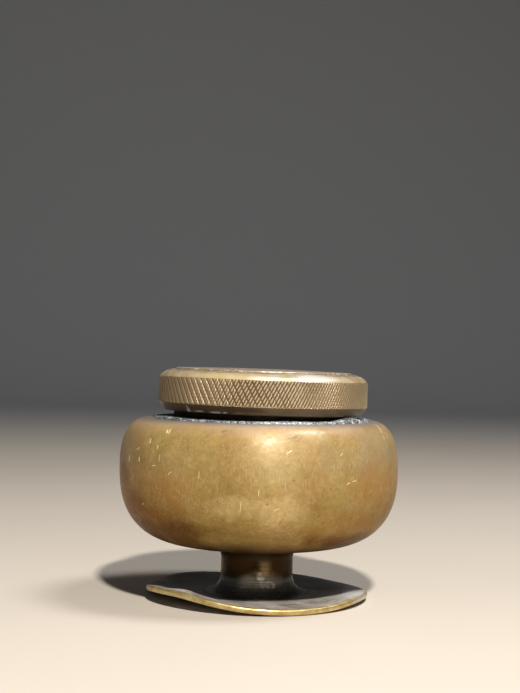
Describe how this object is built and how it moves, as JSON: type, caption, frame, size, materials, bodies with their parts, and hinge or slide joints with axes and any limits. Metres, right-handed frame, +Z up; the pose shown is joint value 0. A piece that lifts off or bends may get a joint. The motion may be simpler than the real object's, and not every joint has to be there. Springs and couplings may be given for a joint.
{
  "type": "desk pot with screw lid",
  "caption": "Squat round brass desk pot on a short stem and a bent disc foot, with a knurled screw lid over a threaded neck and a glass cup inside.",
  "frame": {"origin": "centre of the pot's footprint, on the plane that the foot stands on", "axes": "+Z up along the pot's axis, -Y towards the front, +X to the right; the neck and lid lean 1 degree towards +X"},
  "size_m": [0.0596, 0.0596, 0.0489],
  "materials": {
    "bowl_brass": "aged, hand-worn brass with brown patina, satin",
    "neck_brass": "turned brass, dull",
    "solder": "crusty grey solder, matte",
    "clear_glass": "clear pressed glass",
    "stem_brass": "dark brown patina over fine turning lines",
    "foot_brass": "near-black patina, rim worn to bright brass",
    "screw_steel": "plain steel, dulled",
    "lid_brass": "aged brass, knurl crests worn bright",
    "lid_disc_brass": "aged brass, rubbed",
    "washer_leather": "dark oiled leather"
  },
  "bodies": {
    "pot": {"bowl": "bowl_brass", "neck_collar": "neck_brass", "neck_solder": "solder", "glass_cup": "clear_glass", "stem": "stem_brass", "foot_plate": "foot_brass", "foot_screw": "screw_steel", "nut_washer": "neck_brass", "stem_nut": "screw_steel"},
    "lid_seal": {"lid_washer": "washer_leather"},
    "lid": {"lid_cap": "lid_brass", "lid_disc": "lid_disc_brass"}
  },
  "joints": [
    {"name": "lid_rise", "type": "slide", "parent": "pot", "child": "lid_seal", "axis": [0.0175, 0, 0.9998], "range_m": [0, 0.006]},
    {"name": "lid_turn", "type": "hinge", "parent": "lid_seal", "child": "lid", "pos_m": [0.0005, 0, 0.03805], "axis": [0.0175, 0, 0.9998], "range_deg": [0, 1440]}
  ],
  "couplings": [
    {"joint": "lid_rise", "follows": "lid_turn", "m_per_rad": 0.00023873}
  ]
}
